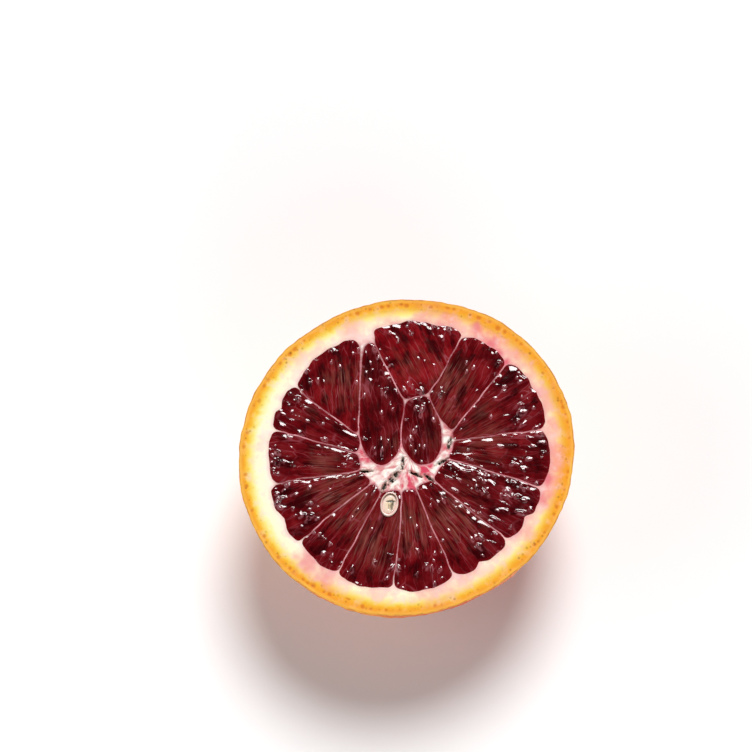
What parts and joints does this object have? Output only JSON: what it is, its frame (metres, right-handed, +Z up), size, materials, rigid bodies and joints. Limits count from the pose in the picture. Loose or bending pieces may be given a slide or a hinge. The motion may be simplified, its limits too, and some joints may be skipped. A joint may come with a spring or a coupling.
{
  "type": "blood orange half",
  "caption": "Half of a blood orange lying on its rind, cut face up, with dark red segments, pale pith, an orange rind and a cut seed.",
  "frame": {"origin": "under the middle of the half, on the surface that it rests on", "axes": "+Z up out of the cut face, +X along its longest width, +Y towards the top of the picture"},
  "size_m": [0.0701, 0.0668, 0.0344],
  "materials": {
    "rind_and_pith": "waxy dimpled orange rind outside, pale cream and pink pith on the cut face",
    "flesh": "wet, dark maroon juice sacs",
    "seed": "moist, cream coloured cut kernel in a paler coat"
  },
  "bodies": {
    "root": {"rind_and_pith": "rind_and_pith", "segment_right_upper": "flesh", "segment_upper_right": "flesh", "segment_top": "flesh", "segment_top_inner": "flesh", "segment_upper_left": "flesh", "segment_left_upper": "flesh", "segment_left": "flesh", "segment_left_lower": "flesh", "segment_lower_left": "flesh", "segment_seeded": "flesh", "segment_bottom": "flesh", "segment_lower_right": "flesh", "segment_right_lower": "flesh", "segment_right": "flesh", "segment_core": "flesh", "seed": "seed"}
  },
  "joints": []
}
